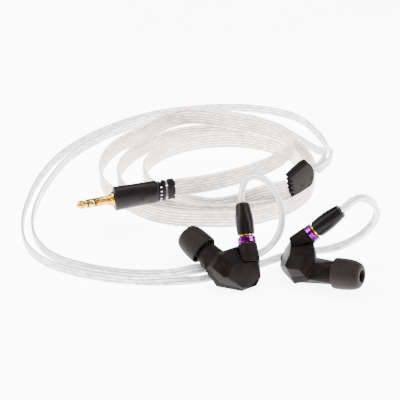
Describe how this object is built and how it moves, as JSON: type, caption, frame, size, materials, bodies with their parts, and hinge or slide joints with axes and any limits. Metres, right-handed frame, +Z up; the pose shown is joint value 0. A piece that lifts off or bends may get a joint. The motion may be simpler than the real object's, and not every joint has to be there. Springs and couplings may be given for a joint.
{
  "type": "in ear monitors",
  "caption": "Pair of in ear monitors with faceted black shells, silicone tips, detachable clear ribbon cable, splitter and gold audio plug.",
  "frame": {"origin": "on the table, under the middle of the box round the two earpieces, cable left out", "axes": "+Z up, +X from the left earpiece to the right one, +Y back towards the coiled cable"},
  "size_m": [0.136, 0.1402, 0.033],
  "materials": {
    "housing_black": "satin",
    "barrel_black": "satin",
    "board_green": "matte",
    "damper_red": "matte",
    "silicone": "matte",
    "faceplate_black": "satin",
    "nozzle_metal": "satin",
    "mesh_steel": "woven",
    "insulator_black": "matte",
    "shell_black": "satin",
    "spring_steel": "satin",
    "contact_gold": "polished",
    "insulator_white": "matte",
    "ring_purple": "anodised",
    "tube_clear": "clear",
    "driver_can": "satin",
    "cable_clear": "clear over silver strands",
    "splitter_black": "satin",
    "comb_black": "satin"
  },
  "bodies": {
    "cable_assembly": {"main_cable": "cable_clear", "left_branch_cable": "cable_clear", "right_branch_cable": "cable_clear", "jack_tip": "contact_gold", "jack_front_insulator": "insulator_black", "jack_ring": "contact_gold", "jack_rear_insulator": "insulator_black", "jack_sleeve": "contact_gold", "jack_housing": "housing_black", "jack_grub_screw": "spring_steel", "strain_relief_inner": "comb_black", "strain_relief_outer": "comb_black", "splitter_front": "splitter_black", "splitter_back": "splitter_black", "splitter_screw_1": "spring_steel", "splitter_screw_2": "spring_steel", "left_plug_sleeve": "contact_gold", "left_plug_insulator": "insulator_black", "left_plug_pin": "contact_gold", "left_connector_barrel": "barrel_black", "right_plug_sleeve": "contact_gold", "right_plug_insulator": "insulator_black", "right_plug_pin": "contact_gold", "right_connector_barrel": "barrel_black"},
    "left_snap_ring": {"left_snap_ring": "spring_steel"},
    "left_earpiece": {"left_shell": "shell_black", "left_faceplate": "faceplate_black", "left_nozzle": "nozzle_metal", "left_nozzle_mesh": "mesh_steel", "left_woofer": "driver_can", "left_tweeter": "driver_can", "left_crossover_board": "board_green", "left_sound_tube": "tube_clear", "left_damper": "damper_red", "left_socket_ring": "ring_purple", "left_socket_body": "contact_gold", "left_socket_insulator": "insulator_white", "left_socket_contact": "contact_gold"},
    "left_ear_tip": {"left_ear_tip": "silicone"},
    "right_snap_ring": {"right_snap_ring": "spring_steel"},
    "right_earpiece": {"right_shell": "shell_black", "right_faceplate": "faceplate_black", "right_nozzle": "nozzle_metal", "right_nozzle_mesh": "mesh_steel", "right_woofer": "driver_can", "right_tweeter": "driver_can", "right_crossover_board": "board_green", "right_sound_tube": "tube_clear", "right_damper": "damper_red", "right_socket_ring": "ring_purple", "right_socket_body": "contact_gold", "right_socket_insulator": "insulator_white", "right_socket_contact": "contact_gold"},
    "right_ear_tip": {"right_ear_tip": "silicone"}
  },
  "joints": [
    {"name": "left_swivel", "type": "hinge", "parent": "cable_assembly", "child": "left_snap_ring", "pos_m": [-0.00856, 0.00166, 0.01446], "axis": [-0.1106, 0.6984, 0.7071], "range_deg": [0, 90]},
    {"name": "left_unplug", "type": "slide", "parent": "left_snap_ring", "child": "left_earpiece", "axis": [0.1106, -0.6984, -0.7071], "range_m": [0, 0.0042], "deforming": ["left_branch_cable", "right_branch_cable"]},
    {"name": "left_tip_pull", "type": "slide", "parent": "left_earpiece", "child": "left_ear_tip", "axis": [-0.6865, 0.6644, 0.2954], "range_m": [0, 0.007]},
    {"name": "right_swivel", "type": "hinge", "parent": "cable_assembly", "child": "right_snap_ring", "pos_m": [0.01554, 0.00646, 0.0145], "axis": [-0.7258, -0.0415, -0.6867], "range_deg": [0, 60]},
    {"name": "right_unplug", "type": "slide", "parent": "right_snap_ring", "child": "right_earpiece", "axis": [-0.7258, -0.0415, -0.6867], "range_m": [0, 0.0042]},
    {"name": "right_tip_pull", "type": "slide", "parent": "right_earpiece", "child": "right_ear_tip", "axis": [0.8537, -0.4734, 0.2169], "range_m": [0, 0.007]}
  ]
}
